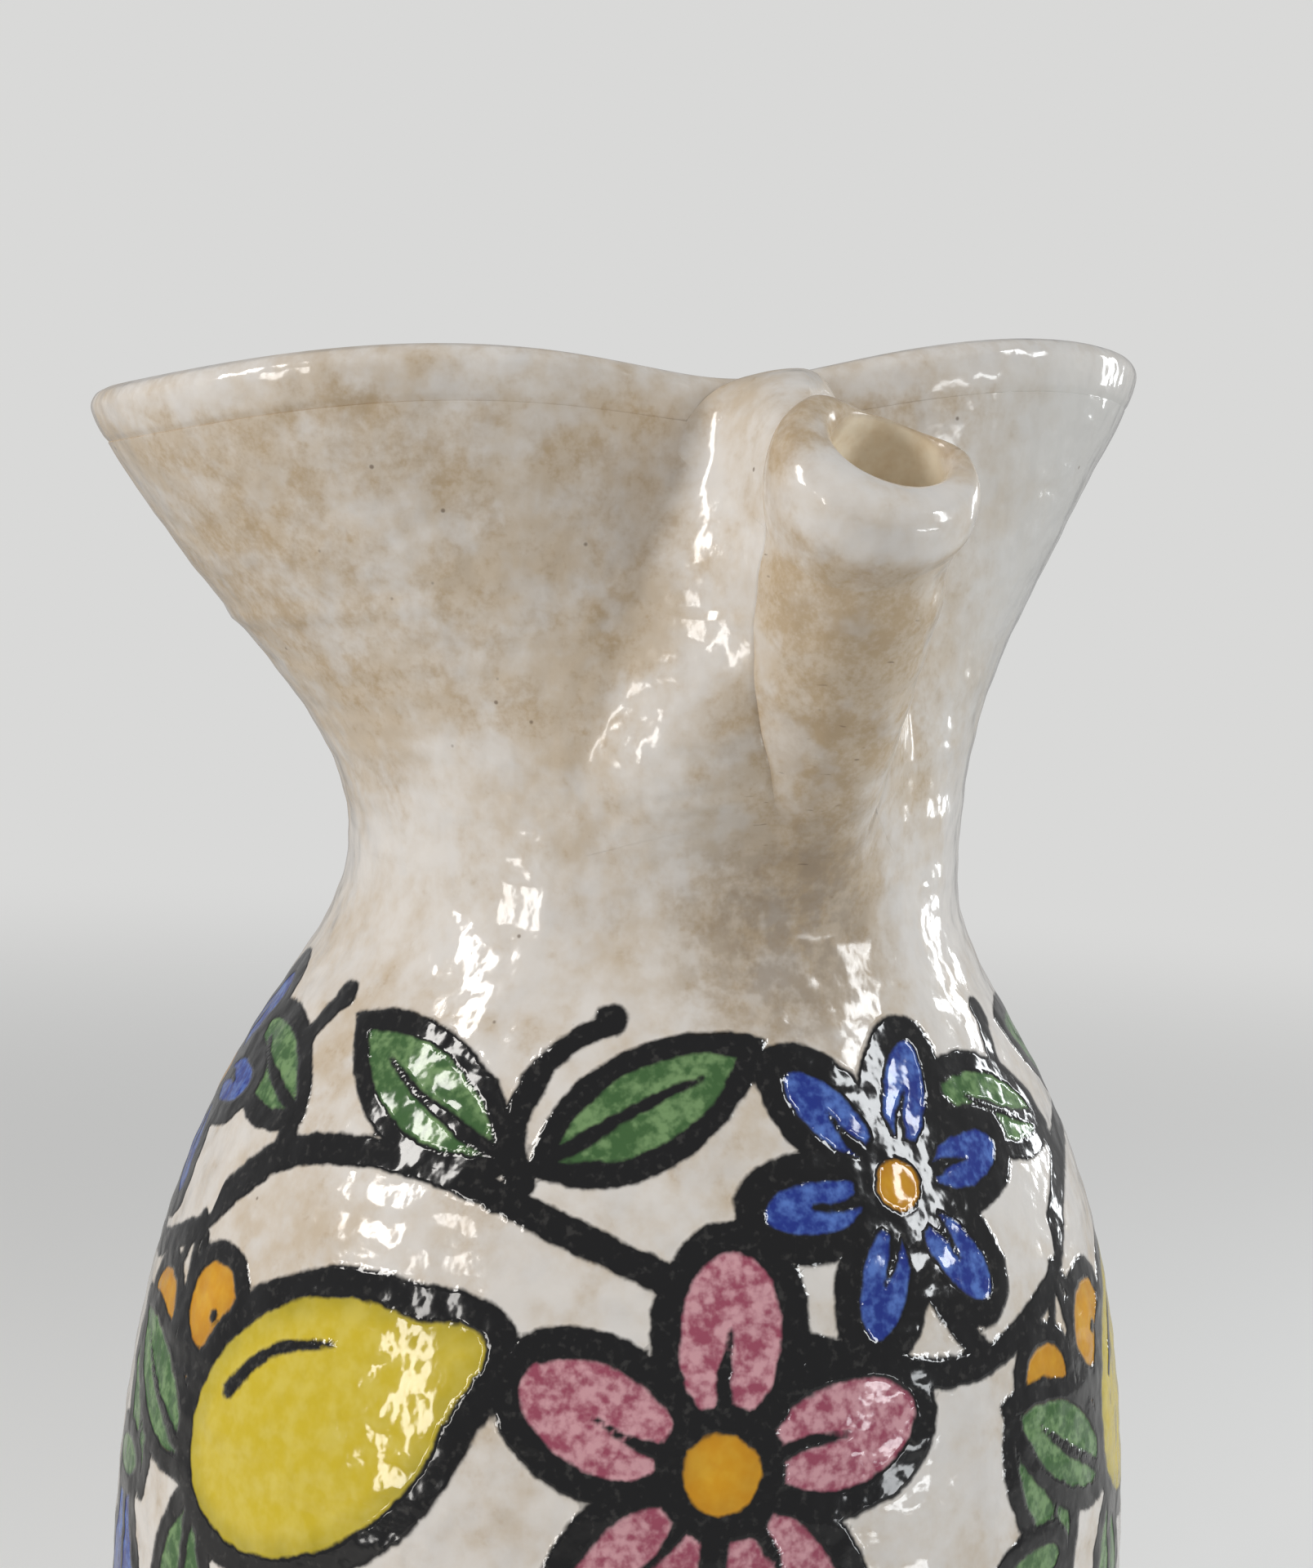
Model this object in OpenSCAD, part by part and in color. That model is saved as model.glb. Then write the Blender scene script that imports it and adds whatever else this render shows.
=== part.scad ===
// Thrown and glazed jug with a waisted neck, a mouth pinched into two lobes and a tubular spout.
// Millimetres, +Z up. The jug stands on its foot ring at z = 0 round the Z axis; the spout points along -Y.

/* [Body] */
// Outer radius of the body at the belly
belly_r = 66.5; // [62:0.5:72]
// Height of the belly above the table
belly_z = 108; // [100:1:116]
// Outer radius of the neck at the waist
waist_r = 39.8; // [37:0.2:43]
// Height of the waist above the table
waist_z = 207; // [200:1:215]
// Thickness of the thrown wall
wall = 5.2; // [4.6:0.1:5.8]
// Height over which the belly rises before it turns in to the shoulder
shoulder_pull = 75; // [68:1:80]
// Height over which the neck runs upright below the waist
waist_pull = 20; // [16:1:24]
// Height over which the belly runs upright below its widest place
belly_pull = 48; // [40:1:56]

/* [Foot] */
// Outer radius of the heel, where the body meets the foot ring
heel_r = 42; // [38:0.5:46]
// Outward run of the wall just above the heel
heel_out = 16; // [12:0.5:18]
// Rise of the wall just above the heel
heel_up = 15; // [12:0.5:18]
// Height of the foot ring
foot_h = 7; // [5:0.5:9]
// Inner radius of the foot ring
foot_in_r = 31; // [28:0.5:34]
// Softened edge of the foot ring
foot_edge = 1.6; // [1:0.1:2.2]

/* [Mouth] */
// Height of the highest part of the rim above the waist
mouth_h = 64.9; // [60:0.1:70]
// Rim radius at the two lobes
lobe_r = 68.5; // [64:0.5:73]
// How far the pinch behind the spout draws the rim in from the waist
cleft_pinch = 6.8; // [5:0.2:8]
// Rim radius at the back, over the handle
back_r = 55; // [51:0.5:59]
// Drop of the rim at the tip of each lobe
tip_drop = 3.2; // [2:0.2:5]
// Drop of the rim at the pinch
cleft_drop = 4.7; // [3:0.1:6.5]
// Drop of the rim at the back
back_drop = 9; // [6:0.2:11]
// Lean of the whole mouth towards -X, degrees
mouth_lean = 4; // [2:0.2:5]

/* [Spout] */
// Drop of the seat of the spout's lip below the top of the rim
spout_drop = 16.4; // [15:0.1:18]
// Sideways place of the tube's axis at the waist, towards +X
spout_side = 4.5; // [0:0.1:6]
// Depth of the tube's axis inside the neck at the waist
spout_inset = 9.3; // [8.4:0.1:10]
// Lean of the tube away from the neck, degrees
spout_lean = 26.5; // [24:0.5:28]
// Lean of the tube towards -X, degrees
spout_slant = 2.2; // [0:0.1:4]
// Tilt of the lip towards the front, degrees
lip_tilt = 35; // [31:0.5:38]
// Outer radius of the tube where it leaves the neck
spout_root_r = 8.2; // [7.8:0.1:8.8]
// Outer radius of the tube under its lip
spout_tip_r = 11.6; // [11.2:0.1:11.8]
// Radius of the bore of the tube
spout_bore_r = 6.1; // [5.4:0.05:6.3]
// Sideways place of the bore at the lip, towards +X
bore_shift = 1.7; // [0.5:0.1:2.4]
// Outer radius of the rolled lip
lip_r = 12.2; // [12:0.1:12.8]
// Height of the rolled lip
lip_h = 5; // [4.4:0.1:5.6]
// Radius of the port through the wall behind the tube
port_r = 4.6; // [4:0.1:5]
// Height of the port above the waist
port_rise = 12; // [11:0.1:13]
// Width of the web behind the tube
web_w = 14; // [12:0.2:16]
// Radius of the hollow that each seam coil is smoothed to
seam_hollow_r = 16; // [14:0.5:18]
// Thickness that each seam coil is feathered to on the neck
seam_skin = 1.1; // [0.8:0.1:1.6]
// Radius of the root pad where it starts
root_pad_r = 13.4; // [12.8:0.1:14.4]

/* [Handle] */
// Width of the strap at its upper root
handle_w = 26; // [22:0.5:30]
// Thickness of the strap at its upper root
handle_t = 10; // [8.5:0.1:11.5]
// Reach of the strap from the axis
handle_reach = 86; // [80:0.5:92]
// Height of the upper root above the waist
handle_top = 35; // [31:0.5:38]
// Drop of the lower root below the waist
handle_foot = 47; // [42:0.5:52]
// Length of each pad along the strap, with the part that is sunk in the wall
pad_len = 26; // [24:0.5:30]
// Width that each pad adds round the strap
pad_grow = 5; // [4:0.1:6]

/* [Fits] */
// Slip between pieces that are luted on freeform faces
slip_gap = 0.25; // [0.15:0.05:0.35]

/* [Hidden] */
$fn = 64;

// overrun of a cut past the faces that it opens
over = wall / 2;
half_wall = wall / 2;
// facets round the mouth, rows up the mouth, rows up a thrown section
around = 72;
bell_rows = 12;
thrown_rows = 18;
turn_step = 360 / around;

// where the thrown sections meet, as shares of the outline: 0 heel, 1 belly, 2 waist
heel_share = 0.09;
belly_lap_shares = [0.975, 1.02];
collar_lap_shares = [1.575, 1.62];
coil_lap_shares = [0.94, 1.05];
coil_bulge_share = 0.5;

// flare of the mouth: control shares outward and upward, and the share of it that the rim band takes
flare_out_shares = [0, 0, 0.55, 1];
flare_up_shares = [0, 0.365, 0.5, 1];
band_share = 0.065;
tip_power = 8;
dip_power = 5.5;
back_power = 2;
lean_power = 4;
// section of the rim band: along the band, then depth in shares of the wall
band_section_shares = [[0, 0], [0.15, -0.04], [0.5, -0.05], [0.82, 0.02], [0.97, 0.26], [1, 0.5],
    [0.97, 0.76], [0.82, 0.98], [0.45, 1.03], [0, 1]];
band_proud = 0.05 * wall;
// the mouth's face is carried on a little past the rim where pieces are trimmed to it
rim_past_share = 1.15;
// the trimming block reaches in to this share of the radius
core_share = 0.08;

// outline of the body in radius and height
low = [[heel_r, foot_h], [heel_r + heel_out, foot_h + heel_up], [belly_r, belly_z - belly_pull],
    [belly_r, belly_z]];
high = [[belly_r, belly_z], [belly_r, belly_z + shoulder_pull], [waist_r, waist_z - waist_pull],
    [waist_r, waist_z]];
cleft_r = waist_r - cleft_pinch;
rim_mean = (2 * lobe_r + cleft_r + back_r) / 4;
rim_swing = (cleft_r - back_r) / 2;
rim_lobes = (cleft_r + back_r - 2 * lobe_r) / 4;

// spout
spout_at = [spout_side, spout_inset - waist_r, waist_z];
spout_way = [-cos(spout_lean) * sin(spout_slant), -sin(spout_lean), cos(spout_lean) * cos(spout_slant)];
spout_len = (mouth_h - spout_drop) / spout_way[2];
bore_lean = atan(bore_shift / spout_len);
spout_sink = 2.2 * spout_root_r;
spout_taper = (spout_tip_r - spout_root_r) / spout_len;
spout_spare = spout_tip_r / 2;
lip_roll = lip_h / 2;
lip_dish_share = 0.9;
spout_tip = spout_at + spout_len * spout_way;
spout_mid = spout_at + 0.7 * spout_len * spout_way;
port_at = spout_at + port_rise / spout_way[2] * spout_way;
// web and coils fill the gap behind the tube, between two heights along it
seam_foot = 0.36 * spout_len;
seam_len = 0.58 * spout_len;
web_len = 0.67 * spout_len;
seam_depth = 2.9 * spout_root_r;
hollow_span = waist_r + seam_skin + seam_hollow_r;
// each coil runs from the web to the place where its hollow comes nearest to the neck
seam_from = web_w / 2 + slip_gap;
root_pad_len = 1.6 * spout_root_r;
root_pad_sink = spout_root_r;
front_spread = 11 * turn_step;
front_shares = [1.45, 1.55, 1.65, 1.75, 1.85, 1.93];

// handle
handle_taper_share = 0.78;
handle_sides = 24;
handle_rows = 28;
handle_corner = 0.72;
handle_rise_shares = [0.56, 0.3];
handle_fall_shares = [0.723, 0.355];
// where the wall stands behind each root: share of the flare at the top, of the shoulder at the foot
root_flare_share = 0.55;
root_shoulder_share = 0.21;
handle_from = [waist_r + root_flare_share * (back_r - waist_r) - 2 * wall, waist_z + handle_top];
handle_to = [belly_r - root_shoulder_share * (belly_r - waist_r) - 2.65 * wall, waist_z - handle_foot];
handle_path = [handle_from, handle_from + handle_reach * handle_rise_shares,
    handle_to + handle_reach * handle_fall_shares, handle_to];
pad_rows = 5;
pad_end_share = 0.22;
pad_thin_share = 0.12;
pad_top_shares = [0, pad_len / (3 * handle_reach * norm(handle_rise_shares))];
pad_foot_shares = [1, 1 - pad_len / (3 * handle_reach * norm(handle_fall_shares))];
back_spread = 9 * turn_step;
back_shares = [1.2, 1.3, 1.4, 1.5, 1.6, 1.7, 1.8, 1.9];

// point and direction on a cubic curve with four controls
function curve(p, u) = pow(1 - u, 3) * p[0] + 3 * pow(1 - u, 2) * u * p[1]
    + 3 * (1 - u) * u * u * p[2] + pow(u, 3) * p[3];
function heading(p, u) = (1 - u) * (1 - u) * (p[1] - p[0]) + 2 * (1 - u) * u * (p[2] - p[1])
    + u * u * (p[3] - p[2]);
function unit(v) = v / norm(v);
function inward(t) = [-unit(t)[1], unit(t)[0]];

// point of the thrown wall: share of the outline, depth below the outer face
function thrown(s, d) = s <= 1 ? curve(low, s) + d * inward(heading(low, s))
    : curve(high, s - 1) + d * inward(heading(high, s - 1));
function thrown_run(a, b, d) = [for (k = [0:thrown_rows]) thrown(a + (b - a) * k / thrown_rows, d)];
function round_z(p, a) = [p[0] * sin(a), -p[0] * cos(a), p[1]];

// rim and wall of the mouth: angle from the spout, share of the flare, depth below the outer face
function rim_r(a) = rim_mean + rim_swing * cos(a) + rim_lobes * cos(2 * a);
function rim_top(a) = mouth_h - tip_drop * pow(abs(sin(a)), tip_power)
    - cleft_drop * pow(max(0, cos(a)), dip_power) - back_drop * pow((1 - cos(a)) / 2, back_power);
function bell_flat(a, u) = [waist_r + (rim_r(a) - waist_r) * curve(flare_out_shares, u),
    rim_top(a) * curve(flare_up_shares, u)];
function bell_heading(a, u) = [(rim_r(a) - waist_r) * heading(flare_out_shares, u),
    rim_top(a) * heading(flare_up_shares, u)];
function leaned(p, b) = [p[0] * cos(b) - p[2] * sin(b), p[1], waist_z + p[0] * sin(b) + p[2] * cos(b)];
function bell_lean(u) = mouth_lean * (1 - pow(1 - min(1, curve(flare_up_shares, u)), lean_power));
function bell(a, u, d) = leaned(round_z(bell_flat(a, u) + d * inward(bell_heading(a, u)), a), bell_lean(u));

// centre line, direction and section of the handle strap
function strap_w(u) = handle_w * (1 + (handle_taper_share - 1) * u);
function strap_t(u) = handle_t * (1 + (handle_taper_share - 1) * u);
function soft(v) = sign(v) * pow(abs(v), handle_corner);
function strap(u, a, w_more, t_more) = let (c = curve(handle_path, u), n = inward(heading(handle_path, u)),
    x = (strap_w(u) / 2 + w_more) * soft(cos(a)), k = (strap_t(u) / 2 + t_more) * soft(sin(a)))
    [x, c[0] + k * n[0], c[1] + k * n[1]];

// closed skin over rows of points; open ends are capped from the first point of the row
module loft(rows, closed) {
    n = len(rows);
    m = len(rows[0]);
    turns = closed ? n : n - 1;
    last = (n - 1) * m;
    sides = [for (i = [0:turns - 1], k = [0:m - 1]) let (j = (i + 1) % n, l = (k + 1) % m)
        each [[i * m + k, i * m + l, j * m + l], [i * m + k, j * m + l, j * m + k]]];
    first_cap = [for (k = [1:m - 2]) [0, k + 1, k]];
    last_cap = [for (k = [1:m - 2]) [last, last + k, last + k + 1]];
    polyhedron([for (r = rows) each r], closed ? sides : concat(sides, first_cap, last_cap));
}

// one thrown section between two laps
module thrown_ring(from_out, from_in, to_out, to_in)
    rotate_extrude() polygon(concat(thrown_run(from_out, to_out, 0),
        [thrown(to_out, half_wall), thrown(to_in, half_wall)], thrown_run(to_in, from_in, wall),
        [thrown(from_in, half_wall), thrown(from_out, half_wall)]));

// everything inside the outer face of neck and mouth between two angles, grown by the slip
module wall_block(mid, spread, shares)
    loft([for (a = [mid - spread:turn_step:mid + spread]) let (
        neck = [for (s = shares) round_z(thrown(s, -slip_gap), a)],
        flare = [for (k = [0:bell_rows]) let (u = rim_past_share * k / bell_rows)
            bell(a, u, u < 1 - band_share ? -slip_gap : -slip_gap - band_proud)],
        low_core = [neck[0][0] * core_share, neck[0][1] * core_share, neck[0][2]],
        top = flare[bell_rows],
        high_core = [top[0] * core_share, top[1] * core_share, top[2]])
        concat([low_core], neck, flare, [high_core])], false);

module at_spout() translate(spout_at) rotate([spout_lean, -spout_slant, 0]) children();
module at_lip() translate(spout_tip) rotate([lip_tilt, 0, 0]) children();

// outside of the tube, grown by a gap
module spout_cone(gap) at_spout() translate([0, 0, -spout_sink])
    cylinder(h = spout_sink + spout_len + spout_spare, r1 = spout_root_r - spout_taper * spout_sink + gap,
        r2 = spout_tip_r + spout_taper * spout_spare + gap);

// straight bore through tube and lip, from the middle of the root to its place at the lip
module spout_bore() at_spout() rotate([0, bore_lean, 0]) translate([0, 0, -spout_sink - over])
    cylinder(h = spout_sink + spout_len + 2 * lip_h + 2 * over, r = spout_bore_r);

module foot_ring() color("BurlyWood") rotate_extrude()
    polygon([[foot_in_r + foot_edge, 0], [heel_r - 2 * foot_edge, 0], [heel_r - foot_edge, foot_edge],
        [heel_r, foot_h], [foot_in_r - foot_edge, foot_h], [foot_in_r, foot_edge]]);

module base_slab() color("Tan") rotate_extrude()
    polygon(concat([[0, foot_h]], thrown_run(0, heel_share, 0), [thrown(heel_share, wall)],
        [[0, thrown(heel_share, wall)[1]]]));

module lower_body() color("Ivory")
    thrown_ring(heel_share, heel_share, belly_lap_shares[1], belly_lap_shares[0]);

module belly_join_coil() color("Tan") rotate_extrude()
    polygon(concat([for (k = [0:thrown_rows]) let (f = k / thrown_rows)
        thrown(coil_lap_shares[0] + (coil_lap_shares[1] - coil_lap_shares[0]) * f, wall + slip_gap)],
        [for (k = [thrown_rows - 1:-1:1]) let (f = k / thrown_rows)
        thrown(coil_lap_shares[0] + (coil_lap_shares[1] - coil_lap_shares[0]) * f,
            wall + slip_gap + coil_bulge_share * wall * sin(180 * f))]));

module upper_body() color("Linen")
    thrown_ring(belly_lap_shares[1], belly_lap_shares[0], collar_lap_shares[1], collar_lap_shares[0]);

module neck_collar() color("OldLace")
    thrown_ring(collar_lap_shares[1], collar_lap_shares[0], 2, 2);

module pinched_mouth() color("FloralWhite") difference() {
    loft([for (i = [0:around - 1]) let (a = i * turn_step) concat(
        [for (k = [0:bell_rows]) bell(a, (1 - band_share) * k / bell_rows, 0)],
        [for (k = [bell_rows:-1:0]) bell(a, (1 - band_share) * k / bell_rows, wall)])], true);
    translate([port_at[0], 2 * wall - waist_r, port_at[2]]) rotate([90, 0, 0]) cylinder(h = 4 * wall, r = port_r);
}

module rim_band() color("Cornsilk")
    loft([for (i = [0:around - 1]) [for (p = band_section_shares)
        bell(i * turn_step, 1 - band_share + band_share * p[0], wall * p[1])]], true);

module spout_tube() color("Linen") difference() {
    spout_cone(0);
    spout_bore();
    at_lip() cylinder(h = 2 * spout_tip_r, r = 2 * spout_tip_r);
    wall_block(0, front_spread, front_shares);
}

module spout_lip() color("Ivory") difference() {
    at_lip() rotate_extrude() polygon(concat([[0, 0]],
        [for (k = [0:thrown_rows]) let (q = 180 * k / thrown_rows - 90)
            [lip_r - lip_roll + lip_roll * cos(q), lip_roll + lip_roll * sin(q)]],
        [[spout_bore_r, lip_h * lip_dish_share], [0, lip_h * lip_dish_share]]));
    spout_bore();
}

module spout_web() color("AntiqueWhite") difference() {
    at_spout() translate([-web_w / 2, 0, seam_foot]) cube([web_w, seam_depth, web_len]);
    spout_cone(slip_gap);
    at_lip() translate([0, 0, -lip_roll]) cylinder(h = 3 * lip_h, r = lip_r + slip_gap);
    wall_block(0, front_spread, front_shares);
}

// fillet of clay in one groove beside the tube, smoothed to a round hollow
module seam_coil(side) {
    hollow_x = spout_mid[0] + side * (1.1 * spout_root_r + seam_hollow_r);
    hollow_y = sqrt(hollow_span * hollow_span - hollow_x * hollow_x);
    seam_w = side * (waist_r * hollow_x / hollow_span - spout_mid[0]) - seam_from;
    difference() {
        at_spout() translate([side * (seam_from + seam_w / 2) - seam_w / 2, 0, seam_foot])
            cube([seam_w, seam_depth, seam_len]);
        translate([hollow_x, -hollow_y, waist_z]) cylinder(h = 2 * mouth_h, r = seam_hollow_r);
        spout_cone(slip_gap);
        wall_block(0, front_spread, front_shares);
    }
}

module left_seam_coil() color("Wheat") seam_coil(-1);

module right_seam_coil() color("Wheat") seam_coil(1);

module spout_root_pad() color("BurlyWood") difference() {
    at_spout() translate([0, 0, -root_pad_sink])
        cylinder(h = root_pad_sink + root_pad_len, r1 = root_pad_r, r2 = spout_root_r + pad_grow / 4);
    spout_cone(slip_gap);
    wall_block(0, front_spread, front_shares);
}

module handle_strap() color("Linen") difference() {
    loft([for (k = [0:handle_rows]) [for (i = [0:handle_sides - 1])
        strap(k / handle_rows, 360 * i / handle_sides, 0, 0)]], false);
    wall_block(180, back_spread, back_shares);
}

// flared ring of clay round one end of the strap
module handle_pad(shares, sense) difference() {
    loft([for (i = [0:handle_sides - 1]) let (a = sense * 360 * i / handle_sides) concat(
        [for (k = [0:pad_rows]) let (f = k / pad_rows, u = shares[0] + (shares[1] - shares[0]) * f,
            g = pad_grow * (pad_thin_share + (1 - pad_thin_share) * pow(1 - f, 2))) strap(u, a, g, g)],
        [for (k = [pad_rows:-1:0]) let (f = k / pad_rows, u = shares[0] + (shares[1] - shares[0]) * f)
            strap(u, a, slip_gap, slip_gap)])], true);
    wall_block(180, back_spread, back_shares);
}

module handle_top_pad() color("Wheat") handle_pad(pad_top_shares, -1);

module handle_foot_pad() color("Wheat") handle_pad(pad_foot_shares, 1);

foot_ring();
base_slab();
lower_body();
belly_join_coil();
upper_body();
neck_collar();
pinched_mouth();
rim_band();
spout_tube();
spout_lip();
spout_web();
left_seam_coil();
right_seam_coil();
spout_root_pad();
handle_strap();
handle_top_pad();
handle_foot_pad();
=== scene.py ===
"""Fired and glazed looks of a spouted jug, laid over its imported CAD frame. Shapes are in millimetres until
they become a mesh; the jug stands on z = 0 and its spout points along -Y."""
from math import cos, pi, radians, sin, tan, tau

import bpy
import numpy as np
from mathutils import Matrix, Vector


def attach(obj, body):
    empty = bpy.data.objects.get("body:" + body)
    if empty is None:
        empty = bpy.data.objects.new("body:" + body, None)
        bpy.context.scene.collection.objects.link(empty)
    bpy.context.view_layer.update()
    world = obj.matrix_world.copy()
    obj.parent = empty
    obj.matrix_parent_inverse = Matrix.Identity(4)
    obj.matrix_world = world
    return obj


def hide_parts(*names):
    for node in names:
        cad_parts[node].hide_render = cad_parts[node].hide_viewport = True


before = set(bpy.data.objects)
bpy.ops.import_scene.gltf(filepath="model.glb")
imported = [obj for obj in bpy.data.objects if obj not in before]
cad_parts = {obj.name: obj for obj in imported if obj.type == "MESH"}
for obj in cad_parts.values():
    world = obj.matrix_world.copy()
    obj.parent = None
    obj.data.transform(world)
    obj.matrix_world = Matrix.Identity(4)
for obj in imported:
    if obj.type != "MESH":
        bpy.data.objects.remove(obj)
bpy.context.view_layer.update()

# sizes of the jug, as in the part's source
WALL = 5.2
BELLY_R, BELLY_Z, WAIST_R, WAIST_Z = 66.5, 108.0, 39.8, 207.0
HEEL_R, FOOT_H, FOOT_IN_R = 42.0, 7.0, 31.0
LOW = np.array([[HEEL_R, FOOT_H], [HEEL_R + 16, FOOT_H + 15], [BELLY_R, BELLY_Z - 48], [BELLY_R, BELLY_Z]])
HIGH = np.array([[BELLY_R, BELLY_Z], [BELLY_R, BELLY_Z + 75], [WAIST_R, WAIST_Z - 20], [WAIST_R, WAIST_Z]])
MOUTH_H, LOBE_R, CLEFT_R, BACK_R = 64.9, 68.5, 33.0, 55.0
TIP_DROP, CLEFT_DROP, BACK_DROP, MOUTH_LEAN = 3.2, 4.7, 9.0, radians(4)
FLARE_OUT, FLARE_UP, BAND = (0, 0, 0.55, 1), (0, 0.365, 0.5, 1), 0.065
SPOUT_LEAN, SPOUT_SLANT, LIP_TILT = radians(26.5), radians(2.2), radians(35)
SPOUT_LEN = (MOUTH_H - 16.4) / (cos(SPOUT_LEAN) * cos(SPOUT_SLANT))
SPOUT_ROOT_R, SPOUT_TIP_R, BORE_R, BORE_SHIFT, LIP_R = 8.2, 11.6, 6.1, 1.7, 12.2
HANDLE_W, HANDLE_T, HANDLE_TAPER, HANDLE_CORNER, HANDLE_REACH = 26.0, 10.0, 0.78, 0.72, 86.0
HANDLE_FROM = np.array([WAIST_R + 0.55 * (BACK_R - WAIST_R) - 2 * WALL, WAIST_Z + 35])
HANDLE_TO = np.array([BELLY_R - 0.21 * (BELLY_R - WAIST_R) - 2.65 * WALL, WAIST_Z - 47])
HANDLE_PATH = np.array([HANDLE_FROM, HANDLE_FROM + HANDLE_REACH * np.array([0.56, 0.3]),
                        HANDLE_TO + HANDLE_REACH * np.array([0.723, 0.355]), HANDLE_TO])
PAD_GROW = 5.0

# shares of the way up the wall (0 heel, 1 belly, 2 waist, 3 rim) where its sections lap
HEEL_SHARE, WAIST_SHARE = 0.09, 2.0
BELLY_LAP, COLLAR_LAP, COIL_LAP = (0.975, 1.02), (1.575, 1.62), (0.94, 1.05)

# metres in a millimetre, edges that stay sharp, pin hole left at the axis, gap under a pressed coil
MM, SHARP, PIN_R, COIL_GAP = 0.001, radians(42), 0.02, 0.05
# points round the wall, the tube, the lip and the strap, and across the clay smoothed round the tube
ROUND, TUBE_ROUND, LIP_ROUND, STRAP_ROUND, SMEAR_PLACES = 576, 160, 240, 120, 40
TURN = np.arange(ROUND) * tau / ROUND - pi
# mark, in millimetres, of a paint that is nowhere near
FAR = 30.0
# turn of the view from the front of the jug
VIEW_TURN = radians(-21)


def cubic(p, u):
    """Cubic curve with four controls at share u."""
    return (1 - u) ** 3 * p[0] + 3 * (1 - u) ** 2 * u * p[1] + 3 * (1 - u) * u * u * p[2] + u ** 3 * p[3]


def cubic_slope(p, u):
    """A third of the cubic's derivative at share u."""
    return (1 - u) ** 2 * (p[1] - p[0]) + 2 * (1 - u) * u * (p[2] - p[1]) + u * u * (p[3] - p[2])


def quadratic(p, u):
    """Quadratic curve with three controls at share u."""
    return (1 - u) ** 2 * p[0] + 2 * u * (1 - u) * p[1] + u * u * p[2]


def ease(lo, hi, x):
    """0 at lo and before it, 1 at hi and past it, and 3t^2 - 2t^3 between them; hi may be the smaller."""
    t = np.clip((x - lo) / (hi - lo), 0, 1)
    return t * t * (3 - 2 * t)


def unit(v):
    """Vectors scaled to length one."""
    return v / np.maximum(np.linalg.norm(v, axis=-1, keepdims=True), 1e-12)


def dot(v, w):
    """Products of matching vectors, kept as a last axis of one."""
    return np.sum(v * w, -1, keepdims=True)


def thrown(s, d):
    """Radius and height of the thrown wall: two cubics end to end (s 0 heel, 1 belly, 2 waist), moved
    inwards along their normal by depth d."""
    s = np.asarray(s, float)
    u = np.where(s <= 1, s, s - 1)
    r, z, tr, tz = (np.where(s <= 1, f(LOW[:, k], u), f(HIGH[:, k], u))
                    for f in (cubic, cubic_slope) for k in (0, 1))
    n = np.hypot(tr, tz)
    return r - d * tz / n, z + d * tr / n


def around(r, z, a):
    """Points at radius r, height z and angle a from the front."""
    r, z, a = np.broadcast_arrays(r, z, a)
    return np.stack([r * np.sin(a), -r * np.cos(a), z], -1)


def rim(a):
    """Rim radius (mean, one swing front to back, two lobes) and height (drops at tips, pinch and back)."""
    r = ((2 * LOBE_R + CLEFT_R + BACK_R) / 4 + (CLEFT_R - BACK_R) / 2 * np.cos(a)
         + (CLEFT_R + BACK_R - 2 * LOBE_R) / 4 * np.cos(2 * a))
    h = (MOUTH_H - TIP_DROP * np.abs(np.sin(a)) ** 8 - CLEFT_DROP * np.maximum(0, np.cos(a)) ** 5.5
         - BACK_DROP * ((1 - np.cos(a)) / 2) ** 2)
    return r, h


def bell(a, u, d):
    """Wall of the mouth: at each angle a cubic flare from waist to rim, moved inwards by depth d, then the
    whole leaned towards -X by an angle that grows with height."""
    rr, hh = rim(a)
    tr, tz = (rr - WAIST_R) * cubic_slope(FLARE_OUT, u), hh * cubic_slope(FLARE_UP, u)
    n = np.hypot(tr, tz)
    r = WAIST_R + (rr - WAIST_R) * cubic(FLARE_OUT, u) - d * tz / n
    z = hh * cubic(FLARE_UP, u) + d * tr / n
    b = MOUTH_LEAN * (1 - (1 - np.minimum(1, cubic(FLARE_UP, u))) ** 4)
    x = r * np.sin(a)
    return np.stack(np.broadcast_arrays(x * np.cos(b) - z * np.sin(b), -r * np.cos(a),
                                        WAIST_Z + x * np.sin(b) + z * np.cos(b)), -1)


def hand(a, q):
    """Unevenness left by the potter's fingers, in millimetres outwards: slow waves round and up the wall,
    faint throwing rings and one low ridge round the mouth, fading at the heel and under the rim band."""
    z = np.where(q <= 2, thrown(np.minimum(q, 2), 0)[1],
                 WAIST_Z + MOUTH_H * cubic(FLARE_UP, np.maximum(q - 2, 0)))
    waves = (0.15 * np.sin(2 * a + z / 31 + 0.4) + 0.12 * np.sin(3 * a - z / 19 + 1.3)
             + 0.09 * np.sin(5 * a + z / 12.5 + 2.2) + 0.05 * np.sin(8 * a - z / 9 + 0.7))
    rings = (0.05 * np.sin(z * tau / 8.2 + 0.8 * np.sin(a + 0.5))
             + 0.03 * np.sin(z * tau / 3.7 + 1.1 * np.sin(2 * a)))
    ridge = 0.30 * np.exp(-(z - 242.5 - 0.8 * np.sin(a)) ** 2) * (0.6 + 0.4 * np.sin(3 * a + 0.5))
    return (waves + rings + ridge - 0.44) * ease(0.02, 0.2, q) * (1 - ease(2.8, 2.93, q))


def wall_point(a, q, d):
    """Point of body, neck and mouth in one: share q is 0 heel, 1 belly, 2 waist, 3 rim."""
    a, q, d = np.broadcast_arrays(a, np.asarray(q, float), d)
    r, z = thrown(np.minimum(q, 2), d)
    return np.where((q <= 2)[..., None], around(r, z, a), bell(a, np.maximum(q - 2, 0), d))


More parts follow.
